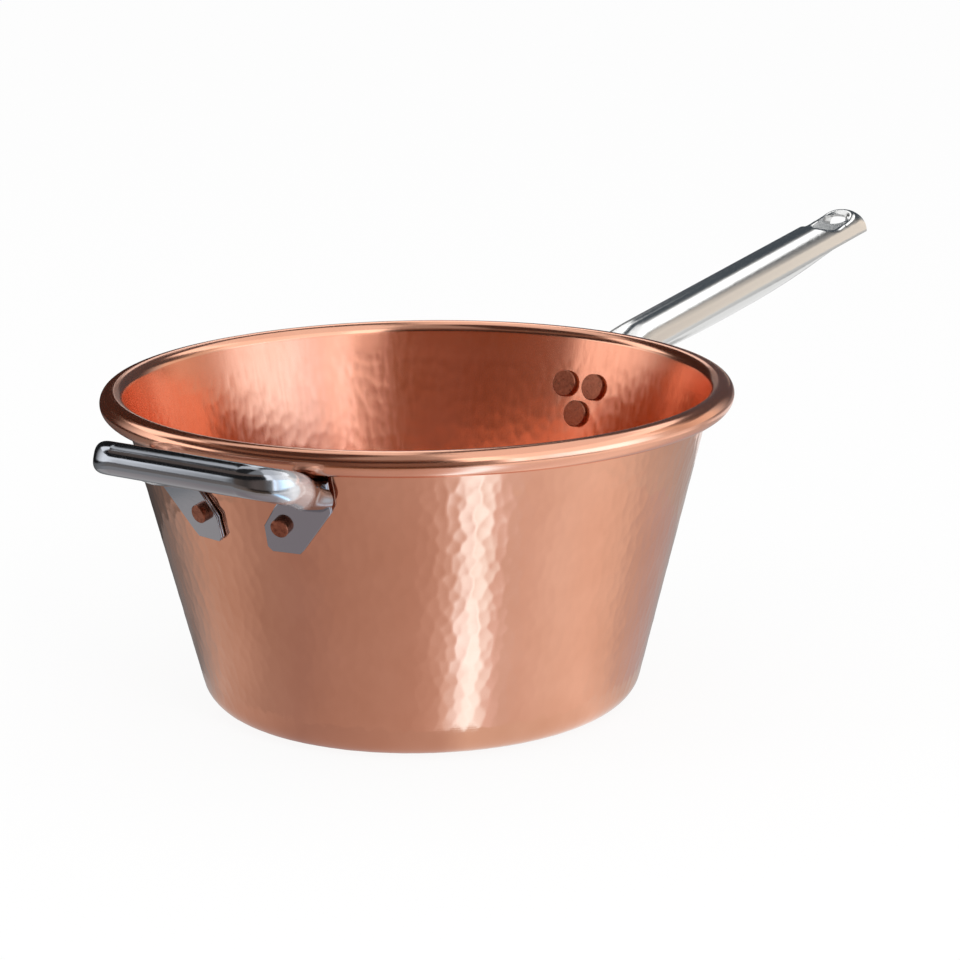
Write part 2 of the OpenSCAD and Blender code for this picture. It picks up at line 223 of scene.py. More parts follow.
def new_finish(name):
    finish = bpy.data.materials.new(name)
    finish.use_nodes = True
    tree = finish.node_tree
    tree.nodes.clear()
    out = tree.nodes.new("ShaderNodeOutputMaterial")
    surface = tree.nodes.new("ShaderNodeBsdfPrincipled")
    tree.links.new(surface.outputs[0], out.inputs[0])
    return finish, tree, surface


def satin_copper(name, light, dark, rough_from, rough_to, lines, line_stretch, painted_bounce_share):
    """copper whose colour drifts a little over the sheet, with fine working lines; the last argument is
    the share of the surface given a matt deep red that only scatters light, a painted reflection of the
    copper's own light bounced between its walls"""
    finish, tree, surface = new_finish(name)
    link = tree.links.new
    surface.inputs["Metallic"].default_value = 1.0
    place = put(tree, "ShaderNodeUVMap", uv_map="sheet")
    solid = put(tree, "ShaderNodeTexCoord")
    drift = put(tree, "ShaderNodeTexNoise", scale=26.0, detail=3.0, roughness=0.55)
    link(solid.outputs["Object"], drift.inputs["Vector"])
    colour = put(tree, "ShaderNodeMix", data_type="RGBA")
    colour.inputs[6].default_value = (*dark, 1)
    colour.inputs[7].default_value = (*light, 1)
    spread = put(tree, "ShaderNodeMapRange", from_min=0.3, from_max=0.7)
    link(drift.outputs["Fac"], spread.inputs["Value"])
    link(spread.outputs[0], colour.inputs[0])
    link(colour.outputs[2], surface.inputs["Base Color"])
    stretched = put(tree, "ShaderNodeMapping")
    stretched.inputs["Scale"].default_value = line_stretch
    link(place.outputs["UV"], stretched.inputs["Vector"])
    scratch = put(tree, "ShaderNodeTexNoise", scale=1.0, detail=4.0, roughness=0.7)
    link(stretched.outputs[0], scratch.inputs["Vector"])
    dull = put(tree, "ShaderNodeMapRange", from_min=0.3, from_max=0.7)
    dull.inputs["To Min"].default_value = rough_from
    dull.inputs["To Max"].default_value = rough_to
    link(scratch.outputs["Fac"], dull.inputs["Value"])
    link(dull.outputs[0], surface.inputs["Roughness"])
    bump = put(tree, "ShaderNodeBump", strength=lines, distance=0.0001)
    link(scratch.outputs["Fac"], bump.inputs["Height"])
    link(bump.outputs[0], surface.inputs["Normal"])
    # painted reflection: a matt deep red mixed over the metal, standing in for light that the copper
    # bounces between its own walls
    painted_bounce_red = put(tree, "ShaderNodeBsdfDiffuse", color=(0.66, 0.082, 0.010, 1))
    both = put(tree, "ShaderNodeMixShader")
    both.inputs[0].default_value = painted_bounce_share
    link(surface.outputs[0], both.inputs[1])
    link(painted_bounce_red.outputs[0], both.inputs[2])
    link(both.outputs[0], next(n for n in tree.nodes if n.type == "OUTPUT_MATERIAL").inputs[0])
    return finish


# the last number of each finish is its share of painted red reflection; the inside has the most
outside_copper = satin_copper("hammered_copper", (0.80, 0.405, 0.270), (0.72, 0.345, 0.220),
                              0.08, 0.14, 0.10, (30, 900, 1), 0.0)
inside_copper = satin_copper("inside_copper", (0.85, 0.415, 0.285), (0.77, 0.350, 0.230),
                             0.15, 0.25, 0.25, (420, 60, 1), 0.23)
bead_copper = satin_copper("polished_bead", (0.86, 0.46, 0.32), (0.79, 0.40, 0.27),
                           0.12, 0.20, 0.15, (20, 700, 1), 0.05)
pan = bpy.data.objects.new("pan_copper", copper_mesh())
bpy.context.scene.collection.objects.link(pan)
for finish in (outside_copper, inside_copper, bead_copper):
    pan.data.materials.append(finish)
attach(pan, "root")
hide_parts("pan_body")


# Long handle
# Two pressed stainless sheets: a half-round upper one, polished, and a shallow belly under it.
# The tip is pressed down flat round a hanging hole; the foot plate takes the three rivets.
steel_t, handle_r, side_h = 0.0015, 0.0105, 0.0009
rise = math.radians(8.5)
neck_end = np.array([0.172, 0.1315])
handle_tip = 0.367
neck_start_x = wall_r(0.1275) - 0.004
neck_half_w, neck_h = 0.015, 0.012
neck_foot_z = 0.1275 - neck_h
foot_gap = 0.0026 + 0.0001
hang_r, hang_inset = 0.00625, 0.011
dish_floor, dish_r = handle_r - 0.0040, 0.0074
dish_from, dish_to = 0.0295, 0.0045
nose_l, nose_drop = 0.007, 0.0024


def neck_part(x):
    t = np.clip((neck_end[0] - x) / (neck_end[0] - neck_start_x), 0, 1)
    return t * t * (3 - 2 * t)


def middle_z(x):
    line = neck_end[1] + (x - neck_end[0]) * math.tan(rise)
    foot = neck_foot_z + (x - neck_start_x) * math.tan(rise)
    return line + (foot - line) * neck_part(x)


def half_width(x):
    return handle_r + (neck_half_w - handle_r) * neck_part(x)


def top_w(x):
    """height of the upper shell's top above the middle line; it falls away at the tip"""
    nose = np.clip((x - handle_tip + nose_l) / nose_l, 0, None)
    return handle_r + (neck_h - handle_r) * neck_part(x) - nose_drop * nose ** 2


def off_line(x, y, w):
    """a point of a section square to the handle: y to the side, w above the middle line"""
    return np.stack([x - w * math.sin(rise), y, middle_z(x) + w * math.cos(rise)], -1)


def smooth_least(a, b, k):
    h = np.clip(0.5 + 0.5 * (b - a) / k, 0, 1)
    return b + (a - b) * h - k * h * (1 - h)


def dish_height(x, y):
    """height of the pressed end above the middle line; far above the shell elsewhere"""
    from_tip = (handle_tip - x) / math.cos(rise)
    long_mid = (dish_from + dish_to) / 2
    straight = (dish_from - dish_to) / 2 - dish_r
    du = np.maximum(np.abs(from_tip - long_mid) - straight, 0)
    away = np.sqrt(du * du + y * y) - dish_r
    slope = np.where(from_tip < long_mid, 0.42, 0.80)
    tipped = 0.05 * y + 0.12 * (hang_inset - from_tip)
    return dish_floor + tipped + np.maximum(away, 0) * slope


def upper_shell_mesh():
    x = np.concatenate([np.linspace(neck_start_x + 0.001, 0.320, 120, endpoint=False),
                        np.linspace(0.320, handle_tip, 110)])
    sides = 72
    a = np.linspace(0, math.pi, sides + 1)
    squareness = (1 - neck_part(x) / 3)[:, None]
    y = half_width(x)[:, None] * np.sign(np.cos(a)) * np.abs(np.cos(a)) ** squareness
    w = top_w(x)[:, None] * np.clip(np.sin(a), 0, 1) ** squareness
    y = np.concatenate([half_width(x)[:, None], y, -half_width(x)[:, None]], 1)
    w = np.concatenate([np.full((len(x), 1), -side_h), w, np.full((len(x), 1), -side_h)], 1)
    x2 = np.broadcast_to(x[:, None], y.shape).copy()
    hole_x = handle_tip - hang_inset * math.cos(rise)
    du = (x2 - hole_x) / math.cos(rise)
    near = np.hypot(du, y)
    start = np.full(y.shape[1], neck_start_x)
    for _ in range(30):
        place = off_line(start, y[0], w[0])
        start += wall_r(place[:, 2]) + foot_gap / math.cos(lean) - np.hypot(place[:, 0], place[:, 1])
    share = np.clip((x2 - x2[0, 0]) / (neck_end[0] - x2[0, 0]), 0, 1)
    x2 = np.where(x2 < neck_end[0], start * (1 - share) + neck_end[0] * share, x2)
    high = w > 0.004
    inside = (near < hang_r) & high
    ring = (near >= hang_r) & (near < hang_r + 0.0007) & high
    pull = np.where(ring, hang_r / np.maximum(near, 1e-6), 1.0)
    x3 = hole_x + du * pull * math.cos(rise)
    y3 = y * pull
    x3, y3 = np.where(ring, x3, x2), np.where(ring, y3, y)
    arch = np.where(w > 0.0005, np.sqrt(np.clip(handle_r ** 2 - y3 ** 2, 0, None)), w)
    w3 = np.where(ring, arch, w)
    w3 = np.where(x3 > 0.31, smooth_least(w3, dish_height(x3, y3), 0.0012), w3)
    points = off_line(x3, y3, w3).reshape(-1, 3)
    rows, columns = y.shape
    faces = []
    for i in range(rows - 1):
        for j in range(columns - 1):
            corners = [(i, j), (i, j + 1), (i + 1, j + 1), (i + 1, j)]
            if not any(inside[c] for c in corners):
                faces.append([p * columns + q for p, q in reversed(corners)])
    mesh = bpy.data.meshes.new("handle_upper")
    mesh.from_pydata(points.tolist(), [], faces)
    return mesh


def finished(name, mesh, finish, nodes):
    """puts a mesh in the scene as a piece of the pan that stands for these solids"""
    piece = bpy.data.objects.new(name, mesh)
    bpy.context.scene.collection.objects.link(piece)
    mesh.materials.append(finish)
    mesh.polygons.foreach_set("use_smooth", np.ones(len(mesh.polygons), bool))
    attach(piece, "root")
    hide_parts(*nodes)
    return piece


def polished_steel(name, colour, rough_from, rough_to, stretch, lines):
    """polished stainless steel with faint lines left by the polishing belt"""
    finish, tree, surface = new_finish(name)
    link = tree.links.new
    surface.inputs["Metallic"].default_value = 1.0
    surface.inputs["Base Color"].default_value = (*colour, 1)
    place = put(tree, "ShaderNodeTexCoord")
    stretched = put(tree, "ShaderNodeMapping")
    stretched.inputs["Scale"].default_value = stretch
    link(place.outputs["Object"], stretched.inputs["Vector"])
    belt = put(tree, "ShaderNodeTexNoise", scale=1.0, detail=3.0, roughness=0.6)
    link(stretched.outputs[0], belt.inputs["Vector"])
    dull = put(tree, "ShaderNodeMapRange", from_min=0.3, from_max=0.7)
    dull.inputs["To Min"].default_value = rough_from
    dull.inputs["To Max"].default_value = rough_to
    link(belt.outputs["Fac"], dull.inputs["Value"])
    link(dull.outputs[0], surface.inputs["Roughness"])
    bump = put(tree, "ShaderNodeBump", strength=lines, distance=0.0001)
    link(belt.outputs["Fac"], bump.inputs["Height"])
    link(bump.outputs[0], surface.inputs["Normal"])
    return finish


handle_steel = polished_steel("handle_steel", (0.83, 0.83, 0.82), 0.10, 0.20, (160, 2200, 2200), 0.25)
upper = finished("handle_upper", upper_shell_mesh(), handle_steel, ["handle_upper_shell"])
thick = upper.modifiers.new("sheet", "SOLIDIFY")
thick.thickness = steel_t
thick.offset = -1
rounded = upper.modifiers.new("edges", "BEVEL")
rounded.width = 0.0003
rounded.segments = 2
rounded.limit_method = "ANGLE"
rounded.angle_limit = math.radians(50)
rounded.harden_normals = True

belly_x, belly_from, belly_to, belly_depth, shell_gap = 0.257, 0.138, 0.340, 0.0078, 0.00025


def belly_drop(x):
    t = np.where(x < belly_x, (belly_x - x) / (belly_x - belly_from), (x - belly_x) / (belly_to - belly_x))
    return 0.0001 + (belly_depth - 0.0001) * (1 - np.clip(t, 0, 1) ** 2.4) ** 0.75


def lower_shell_mesh():
    x = np.linspace(belly_from, belly_to, 150)
    sides = 48
    a = np.linspace(0, math.pi, sides + 1)
    side = (half_width(x) - steel_t - shell_gap)[:, None]
    y = np.concatenate([side, side * np.cos(a), -side], 1)
    w = np.concatenate([np.zeros((len(x), 1)), -side_h - belly_drop(x)[:, None] * np.sin(a),
                        np.zeros((len(x), 1))], 1)
    points = off_line(np.broadcast_to(x[:, None], y.shape), y, w).reshape(-1, 3)
    rows, columns = y.shape
    faces = [[i * columns + j, (i + 1) * columns + j, (i + 1) * columns + j + 1, i * columns + j + 1][::-1]
             for i in range(rows - 1) for j in range(columns - 1)]
    mesh = bpy.data.meshes.new("handle_lower")
    mesh.from_pydata(points.tolist(), [], faces)
    return mesh


lower = finished("handle_lower", lower_shell_mesh(), handle_steel, ["handle_lower_shell"])
thick = lower.modifiers.new("sheet", "SOLIDIFY")
thick.thickness = steel_t
thick.offset = -1
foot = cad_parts["handle_foot"]
foot.data.materials.clear()
foot.data.materials.append(handle_steel)


# Helper grip
# A length of polished stainless tube bent to a square loop. Each end is squeezed flat, folded down
# along the wall and trimmed to a lug with cut corners, two layers thick.
grip_turn = math.radians(1.9)
grip_r, grip_reach, grip_z, grip_bend = 0.007, 0.161, 0.137, 0.0125
grip_rise, leg_splay = math.radians(17.5), math.radians(14)
leg_y, leg_l, lug_t, seat_gap = 0.04425, 0.004, 0.0022, 0.00008
lug_angle, lug_z = math.radians(9.8), 0.1088
pad_half_w, pad_half_h = grip_r + 0.0012, grip_r + 0.0002
pad_x, pad_y = 0.024 - pad_half_w + 0.0015, 0.022 - pad_half_h


def in_grip_plane(out, y, up):
    """a place in the tilted plane of the bar: out along the legs, y along the bar"""
    c, s = math.cos(grip_rise), math.sin(grip_rise)
    return np.stack([grip_reach + out * c - up * s, y + 0 * out, grip_z + out * s + up * c], -1)


def on_lug(x, y, z):
    """a place on the lug to the left: x round the wall, y up it, z out of it"""
    r, c, s = wall_r(lug_z), math.cos(lug_angle), math.sin(lug_angle)
    sl, cl = math.sin(lean), math.cos(lean)
    return np.stack([r * c - x * s + y * c * sl + z * c * cl,
                     r * s + x * c + y * s * sl + z * s * cl,
                     lug_z + y * cl - z * sl + 0 * x], -1)


def grip_rings():
    a = np.linspace(0, 2 * math.pi, 64, endpoint=False)
    half_bar = leg_y - grip_bend
    turn = math.pi / 2 + leg_splay

    def tube_ring(out, y, t, q=1.0, dip=0.0):
        """q under 1 draws the section out towards its corners, as a tight bend does"""
        across = grip_r * np.sign(np.cos(a)) * np.abs(np.cos(a)) ** q
        upright = grip_r * np.sign(np.sin(a)) * np.abs(np.sin(a)) ** q
        return in_grip_plane(out + across * math.cos(t), y + across * math.sin(t), -upright - dip)

    end_out, end_y = -grip_bend + grip_bend * math.cos(turn), half_bar + grip_bend * math.sin(turn)
    leg_out, leg_end = end_out - leg_l * math.sin(turn), end_y + leg_l * math.cos(turn)
    bead_out = (bead_mid[0] - grip_reach) / math.cos(grip_rise)
    first_out, second_out = bead_out + bead_r / 3, bead_out - bead_r * 0.75
    rings = [tube_ring(0.0, y, 0.0) for y in np.linspace(0, half_bar, 5)[:-1]]
    for k in range(14):
        t = turn * k / 13
        rings.append(tube_ring(-grip_bend + grip_bend * math.cos(t), half_bar + grip_bend * math.sin(t), t,
                               1 - 0.3 * math.sin(math.pi * k / 13)))
    rings.append(tube_ring(leg_out, leg_end, turn))
    for out, dip in ((first_out, 0.0004), (second_out, 0.0013)):
        rings.append(tube_ring(out, leg_end - (leg_out - out) * math.tan(leg_splay), turn, 1.0, dip))
    rings.append(on_lug(pad_x + pad_half_w * np.cos(a), pad_y - pad_half_h * np.sin(a),
                        seat_gap + lug_t / 2))
    return rings


def smoothed(rings, steps):
    """a row of rings with others set smoothly between them"""
    made = []
    for k in range(len(rings) - 1):
        p0, p1 = rings[max(k - 1, 0)], rings[k]
        p2, p3 = rings[k + 1], rings[min(k + 2, len(rings) - 1)]
        for s in range(steps):
            t = s / steps
            made.append(0.5 * (2 * p1 + (p2 - p0) * t + (2 * p0 - 5 * p1 + 4 * p2 - p3) * t * t
                               + (3 * p1 - p0 - 3 * p2 + p3) * t ** 3))
    return made + [rings[-1]]


def turn_to_grip(points):
    c, s = math.cos(math.pi + grip_turn), math.sin(math.pi + grip_turn)
    return np.stack([points[..., 0] * c - points[..., 1] * s,
                     points[..., 0] * s + points[..., 1] * c, points[..., 2]], -1)


lug_outline = np.array([
    (-8.6, -0.8), (-8.6, -10.5), (-6.4, -12.7), (6.5, -12.7), (8.7, -10.5), (21.8, 5.5),
    (24.0, 8.4), (24.0, 22.0), (9.5, 22.0), (-2.2, 8.5)]) / 1000


def inset_outline(points, by):
    """the outline with each side moved in by the same distance"""
    before, after = np.roll(points, 1, 0), np.roll(points, -1, 0)
    e1, e2 = points - before, after - points
    n1 = np.stack([-e1[:, 1], e1[:, 0]], 1) / np.linalg.norm(e1, axis=1)[:, None]
    n2 = np.stack([-e2[:, 1], e2[:, 0]], 1) / np.linalg.norm(e2, axis=1)[:, None]
    half = n1 + n2
    return points + by * half / (1 + (n1 * n2).sum(1))[:, None]


def grip_mesh():
    arm = smoothed(grip_rings(), 6)
    flip = [r * np.array([1, -1, 1]) for r in arm]
    rings = np.array(flip[:0:-1] + arm)
    n, m = rings.shape[:2]
    points = [tuple(p) for p in turn_to_grip(rings).reshape(-1, 3)]
    faces = [[i * m + j, i * m + (j + 1) % m, (i + 1) * m + (j + 1) % m, (i + 1) * m + j]
             for i in range(n - 1) for j in range(m)]
    faces += [list(range(m))[::-1], [(n - 1) * m + j for j in range(m)]]
    bevel = 0.00028
    ply = lug_t / 2
    for side in (1, -1):
        for bottom in (seat_gap, seat_gap + ply):
            layers = [(bottom, bevel), (bottom + bevel * 0.5, bevel * 0.3), (bottom + bevel, 0),
                      (bottom + ply - bevel, 0), (bottom + ply - bevel * 0.5, bevel * 0.3),
                      (bottom + ply, bevel)]
            base = len(points)
            k = len(lug_outline)
            for z, by in layers:
                edge = inset_outline(lug_outline, by)
                place = on_lug(edge[:, 0], edge[:, 1], z + 0 * edge[:, 0]) * np.array([1, side, 1])
                points += [tuple(p) for p in turn_to_grip(place)]
            rounds = [list(range(base, base + k))[::-1],
                      [base + (len(layers) - 1) * k + q for q in range(k)]]
            for q in range(len(layers) - 1):
                for p in range(k):
                    rounds.append([base + q * k + p, base + q * k + (p + 1) % k,
                                   base + (q + 1) * k + (p + 1) % k, base + (q + 1) * k + p])
            faces += [f[::side] for f in rounds]
    mesh = bpy.data.meshes.new("helper_grip_steel")
    mesh.from_pydata(points, [], faces)
    return mesh


# the second grey is painted light for the legs, paler than the steel's own grey
grip_grey, leg_painted_pale_grey = (0.385, 0.405, 0.445), (0.68, 0.68, 0.70)
leg_from, leg_to, lug_from, lug_to = -0.157, -0.150, -0.131, -0.136
grip_steel = polished_steel("grip_steel", grip_grey, 0.09, 0.17, (1400, 60, 1400), 0.05)
# from bend to lug the legs get a paler grey and only half the mirror: painted light, so that they show the
# light of the room and less of the copper
painted_leg_light_tree = grip_steel.node_tree
along = put(painted_leg_light_tree, "ShaderNodeTexCoord")
axes = put(painted_leg_light_tree, "ShaderNodeSeparateXYZ")
painted_leg_light_tree.links.new(along.outputs["Object"], axes.inputs[0])
past_bend = put(painted_leg_light_tree, "ShaderNodeMapRange", from_min=leg_from, from_max=leg_to)
before_lug = put(painted_leg_light_tree, "ShaderNodeMapRange", from_min=lug_from, from_max=lug_to)
for end in (past_bend, before_lug):
    painted_leg_light_tree.links.new(axes.outputs["X"], end.inputs["Value"])
leg_share = put(painted_leg_light_tree, "ShaderNodeMath", operation="MULTIPLY")
painted_leg_light_tree.links.new(past_bend.outputs[0], leg_share.inputs[0])
painted_leg_light_tree.links.new(before_lug.outputs[0], leg_share.inputs[1])
mirror_share = put(painted_leg_light_tree, "ShaderNodeMapRange", from_min=0.0, from_max=1.0)
mirror_share.inputs["To Min"].default_value = 1.0
mirror_share.inputs["To Max"].default_value = 0.50
blend = put(painted_leg_light_tree, "ShaderNodeMixRGB")
blend.inputs["Color1"].default_value = (*grip_grey, 1)
blend.inputs["Color2"].default_value = (*leg_painted_pale_grey, 1)
painted_leg_light_tree.links.new(leg_share.outputs[0], mirror_share.inputs["Value"])
painted_leg_light_tree.links.new(leg_share.outputs[0], blend.inputs["Fac"])
painted_leg_light_tree.links.new(mirror_share.outputs[0], painted_leg_light_tree.nodes["Principled BSDF"].inputs["Metallic"])
painted_leg_light_tree.links.new(blend.outputs[0], painted_leg_light_tree.nodes["Principled BSDF"].inputs["Base Color"])
grip = finished("helper_grip_steel", grip_mesh(), grip_steel, ["helper_grip"])
grip.data.set_sharp_from_angle(angle=math.radians(35))


# Rivets
# Five solid copper rivets: three flat-headed ones hold the long handle's foot, two hold the lugs.
# Their faces are left as the hammer and file leave them, darker than the pan.
def rivet_finish(name, light, dark):
    finish, tree, surface = new_finish(name)
    link = tree.links.new
    surface.inputs["Metallic"].default_value = 1.0
    place = put(tree, "ShaderNodeTexCoord")
    blot = put(tree, "ShaderNodeTexNoise", scale=420.0, detail=5.0, roughness=0.65)
    link(place.outputs["Object"], blot.inputs["Vector"])
    colour = put(tree, "ShaderNodeMix", data_type="RGBA")
    colour.inputs[6].default_value = (*dark, 1)
    colour.inputs[7].default_value = (*light, 1)
    spread = put(tree, "ShaderNodeMapRange", from_min=0.35, from_max=0.65)
    link(blot.outputs["Fac"], spread.inputs["Value"])
    link(spread.outputs[0], colour.inputs[0])
    link(colour.outputs[2], surface.inputs["Base Color"])
    dull = put(tree, "ShaderNodeMapRange", from_min=0.3, from_max=0.7)
    dull.inputs["To Min"].default_value = 0.22
    dull.inputs["To Max"].default_value = 0.42
    link(blot.outputs["Fac"], dull.inputs["Value"])
    link(dull.outputs[0], surface.inputs["Roughness"])
    bump = put(tree, "ShaderNodeBump", strength=0.5, distance=0.0002)
    link(blot.outputs["Fac"], bump.inputs["Height"])
    link(bump.outputs[0], surface.inputs["Normal"])
    return finish


rivet_copper = rivet_finish("rivet_copper", (0.44, 0.165, 0.100), (0.21, 0.070, 0.042))
for name in ("handle_rivets", "grip_rivets"):
    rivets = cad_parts[name]
    rivets.data.materials.clear()
    rivets.data.materials.append(rivet_copper)


# Floor, background and lights
# A plain pale table under an even white surround, with two soft lamps. Cards that only the metal
# sees, out of the picture, give it its bright bands and dark edges.
def seen_by_metal_and_camera(tree):
    """1 for rays from the camera, from gloss and through glass, 0 for the rest"""
    path = put(tree, "ShaderNodeLightPath")
    either = put(tree, "ShaderNodeMath", operation="MAXIMUM")
    tree.links.new(path.outputs["Is Camera Ray"], either.inputs[0])
    tree.links.new(path.outputs["Is Glossy Ray"], either.inputs[1])
    all_three = put(tree, "ShaderNodeMath", operation="MAXIMUM")
    tree.links.new(either.outputs[0], all_three.inputs[0])
    tree.links.new(path.outputs["Is Transmission Ray"], all_three.inputs[1])
    return all_three.outputs[0]


world = bpy.data.worlds.new("surround")
bpy.context.scene.world = world
world.use_nodes = True
tree = world.node_tree
tree.nodes.clear()
world_out = tree.nodes.new("ShaderNodeOutputWorld")
soft = put(tree, "ShaderNodeBackground", color=(1, 1, 1, 1), strength=0.90)
white = put(tree, "ShaderNodeBackground", color=(1, 1, 1, 1), strength=1.0)
choose = put(tree, "ShaderNodeMixShader")
tree.links.new(seen_by_metal_and_camera(tree), choose.inputs[0])
tree.links.new(soft.outputs[0], choose.inputs[1])
tree.links.new(white.outputs[0], choose.inputs[2])
tree.links.new(choose.outputs[0], world_out.inputs[0])

table = bpy.data.materials.new("pale_table")
table.use_nodes = True
tree = table.node_tree
tree.nodes.clear()
table_out = tree.nodes.new("ShaderNodeOutputMaterial")
matt = put(tree, "ShaderNodeBsdfDiffuse", color=(0.90, 0.90, 0.90, 1))
glow = put(tree, "ShaderNodeEmission", color=(1, 1, 1, 1), strength=1.0)
share = put(tree, "ShaderNodeMath", operation="MULTIPLY")
share.inputs[1].default_value = 0.90
blend = put(tree, "ShaderNodeMixShader")
tree.links.new(seen_by_metal_and_camera(tree), share.inputs[0])
tree.links.new(share.outputs[0], blend.inputs[0])
tree.links.new(matt.outputs[0], blend.inputs[1])
tree.links.new(glow.outputs[0], blend.inputs[2])
tree.links.new(blend.outputs[0], table_out.inputs[0])
bpy.ops.mesh.primitive_plane_add(size=12, location=(0, 0, -0.0002))
floor = bpy.context.object
floor.name = "floor"
floor.data.materials.append(table)


def lamp(name, bearing, height, distance, width, tall, level, aim=0.07):
    """a soft box; bearing is counted in degrees from the camera, to the right"""
    a = math.radians(-90 + bearing)
    data = bpy.data.lights.new(name, "AREA")
    data.shape = "RECTANGLE"
    data.size, data.size_y = width, tall
    data.energy = level * math.pi * width * tall
    made = bpy.data.objects.new(name, data)
    bpy.context.scene.collection.objects.link(made)
    place = turned(distance * math.cos(a), distance * math.sin(a), height)
    made.location = place
    made.rotation_euler = (Vector((0, 0, aim)) - place).to_track_quat("-Z", "Y").to_euler()
    return made


def card(name, points, shades):
    """a sheet of card that only the metal sees, between two rows of points with a shade each"""
    finish = bpy.data.materials.new(name)
    finish.use_nodes = True
    tree = finish.node_tree
    tree.nodes.clear()
    out = tree.nodes.new("ShaderNodeOutputMaterial")
    shine = put(tree, "ShaderNodeEmission", strength=1.0)
    level = put(tree, "ShaderNodeAttribute", attribute_name="shade")
    tree.links.new(level.outputs["Color"], shine.inputs["Color"])
    tree.links.new(shine.outputs[0], out.inputs[0])
    n = len(points[0])
    mesh = bpy.data.meshes.new(name)
    mesh.from_pydata(points[0] + points[1], [], [(i, i + 1, n + i + 1, n + i) for i in range(n - 1)])
    mesh.materials.append(finish)
    shade = mesh.attributes.new("shade", "FLOAT_COLOR", "POINT")
    shade.data.foreach_set("color", np.concatenate([shades, shades]).astype(np.float32).ravel())
    made = bpy.data.objects.new(name, mesh)
    bpy.context.scene.collection.objects.link(made)
    made.visible_camera = False
    made.visible_diffuse = False
    made.visible_shadow = False
    made.visible_transmission = False
    return made


def columns_of(stops, step=2.0):
    """bearings and shades between the stops, close enough together to look curved"""
    bearings = [b for b, _ in stops]
    shades = np.array([(s, s, s) if isinstance(s, (int, float)) else s for _, s in stops], float)
    turns = []
    for first, last in zip(bearings[:-1], bearings[1:]):
        turns += list(np.linspace(first, last, max(1, int(abs(last - first) / step)), endpoint=False))
    turns = np.array(turns + [bearings[-1]])
    mixed = np.stack([np.interp(turns, bearings, shades[:, k]) for k in range(3)]
                     + [np.ones(len(turns))], 1)
    return turns, mixed


def place_at(bearing, distance, height):
    a = math.radians(-90 + bearing)
    return turned(distance * math.cos(a), distance * math.sin(a), height)


def screen(name, low, high, stops, distance=1.52):
    """an upright card, curved round the pan, from one bearing to the last"""
    turns, shades = columns_of(stops)
    return card(name, [[place_at(t, distance, h) for t in turns] for h in (low, high)], shades)


def mat(name, near, far, stops, height=0.0008, spread_near=1.0, spread_far=1.0, turn_near=0.0):
    """a level card; its bearings may spread apart as they run outwards"""
    turns, shades = columns_of(stops)
    return card(name, [[place_at(t * spread_near + turn_near, near, height) for t in turns],
                       [place_at(t * spread_far, far, height) for t in turns]], shades)


key = lamp("key_lamp", 24, 0.9, 1.5, 0.40, 1.10, 7.0)
side = lamp("left_lamp", -75, 0.9, 1.6, 0.6, 0.9, 3.0)
key.visible_glossy = False
side.visible_glossy = False
slate, soot = (0.060, 0.072, 0.085), 0.015
# each stop is a bearing in degrees from the camera, to the right, and the card's shade there
screen("low_surround", 0, 0.64, [
    (-173, soot), (-130, soot), (-118, 0.6), (-108, 1.2), (-96, 1.6), (-76, 1.6), (-70, 0.25),
    (-55, (0.16, 0.12, 0.10)), (-30, (0.10, 0.08, 0.07)), (-12, (0.20, 0.15, 0.13)),
    (8, (0.18, 0.14, 0.12)), (25, 0.30), (30, 1.7), (33, (2.1, 2.5, 3.1)), (37, 1.8),
    (42, (1.4, 1.6, 1.8)), (48, (1.5, 1.9, 2.3)), (58, (1.75, 2.35, 2.8)), (74, (1.75, 2.35, 2.75)),
    (84, (1.5, 1.8, 2.0)), (91, 0.85), (103, (0.66, 0.57, 0.50)), (110, (0.83, 0.74, 0.65)),
    (125, (1.00, 0.86, 0.73)), (133, 0.55), (139, 0.25), (146, slate), (176, slate), (178, 0.22),
    (186, 0.22), (187, 1.2)])
screen("middle_surround", 0.64, 1.20, [
    (-173, soot), (-131, soot), (-127, 1.6), (-108, 1.6), (-104, 0.02), (13, 0.02), (17, 1.9),
    (30, 1.9), (33, 1.35), (95, 1.35), (98, (0.93, 0.82, 0.71)), (104, (0.80, 0.71, 0.62)),
    (110, (0.66, 0.58, 0.51)), (115, 0.26), (119, 0.13), (125, 0.10), (128, slate), (177, slate),
    (178.5, 1.2), (186, 1.2), (187, 1.2)])
screen("high_surround", 1.20, 1.75, [
    (-173, 0.3), (-165, soot), (-131, soot), (-127, 1.6), (-110, 1.5), (-104, (0.17, 0.13, 0.11)),
    (11, (0.20, 0.15, 0.13)), (15, 1.9), (30, 1.9), (33, 1.35), (96, 1.35), (100, 1.6), (146, 1.5),
    (151, 0.20), (158, slate), (174, slate), (176, 1.5), (187, 1.5)])
screen("back_glint", 1.09, 1.20, [(169.5, slate), (171, 1.5), (187, 1.5)], 1.51)
mat("ceiling_front", 0.20, 1.60, [
    (-150, 0.85), (-122, 0.85), (-116, 0.03), (-42, 0.03), (-34, 0.38), (12, 0.38), (17, 1.05),
    (158, 1.05), (162, slate), (176, slate), (180, 1.05), (210, 1.05)], 1.75)
mat("ceiling_middle", 0.001, 0.20, [(-180, 0.5), (180, 0.5)], 1.75)
